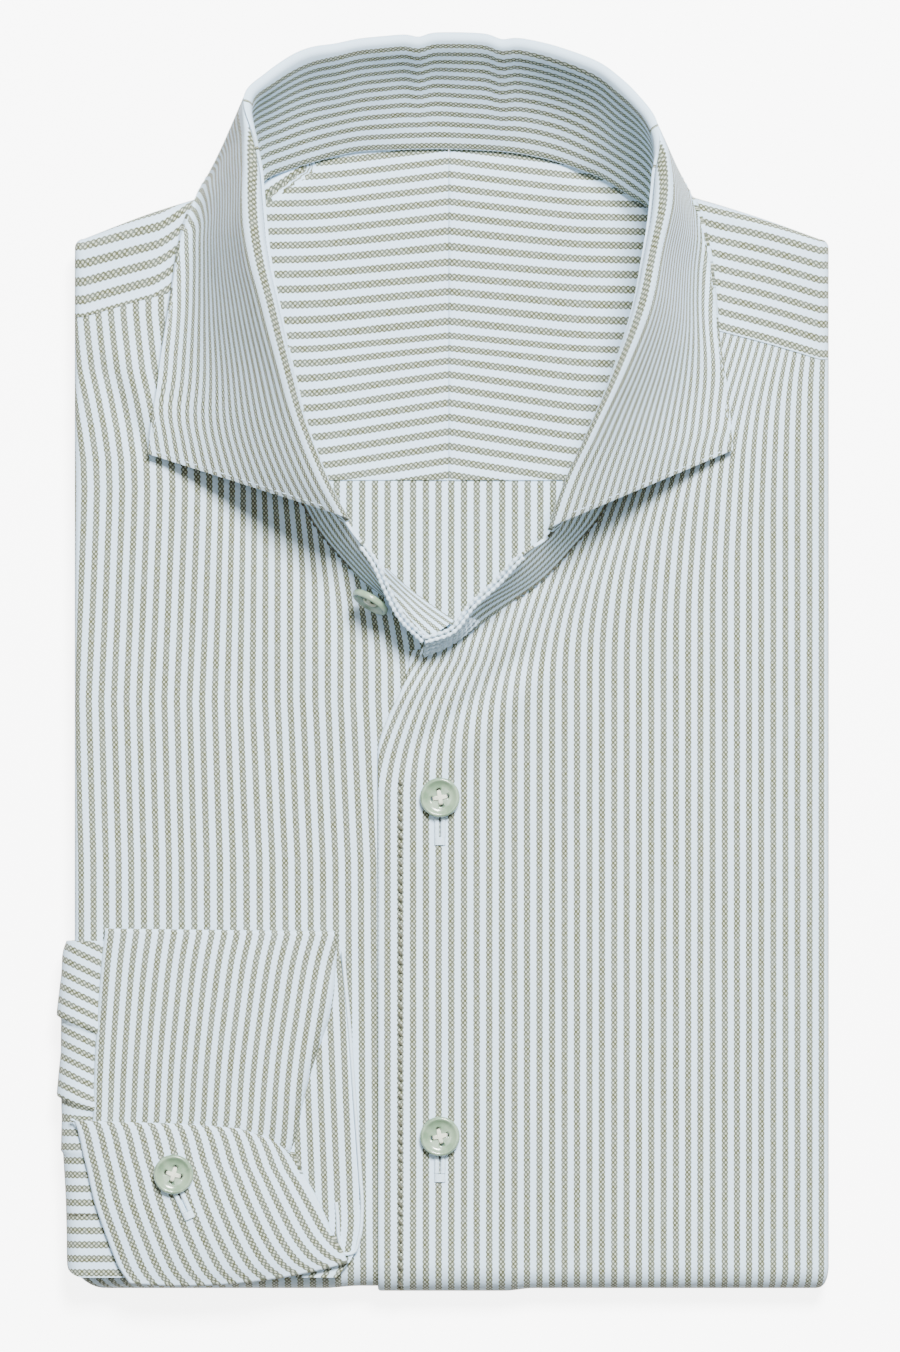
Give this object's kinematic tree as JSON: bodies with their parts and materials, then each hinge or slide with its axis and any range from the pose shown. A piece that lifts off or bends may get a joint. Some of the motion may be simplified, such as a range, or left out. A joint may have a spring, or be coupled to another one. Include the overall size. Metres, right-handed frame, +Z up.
{
  "type": "folded dress shirt",
  "caption": "Striped dress shirt folded for display, face up, with an open spread collar and one cuff brought round onto the front.",
  "frame": {"origin": "middle of the folded shirt's footprint, on the surface it rests on", "axes": "+X to the right of the shirt as it lies, +Y towards the collar, +Z up"},
  "size_m": [0.2143, 0.3497, 0.0533],
  "materials": {
    "shirting": "woven cotton shirting, white and sage olive stripes of 1.75 mm, soft sheen",
    "button": "pearly off-white, four holes, white cross stitch"
  },
  "bodies": {
    "root": {"folded_layers": "shirting", "back_panel": "shirting", "yoke_inner_left": "shirting", "yoke_inner_right": "shirting", "yoke_outer_left": "shirting", "yoke_outer_right": "shirting", "front_left": "shirting", "front_right": "shirting", "collar_stand": "shirting", "collar_leaf": "shirting", "sleeve_under": "shirting", "sleeve_upper": "shirting", "cuff": "shirting", "button_collar": "button", "button_front_1": "button", "button_front_2": "button", "button_cuff": "button"}
  },
  "joints": []
}
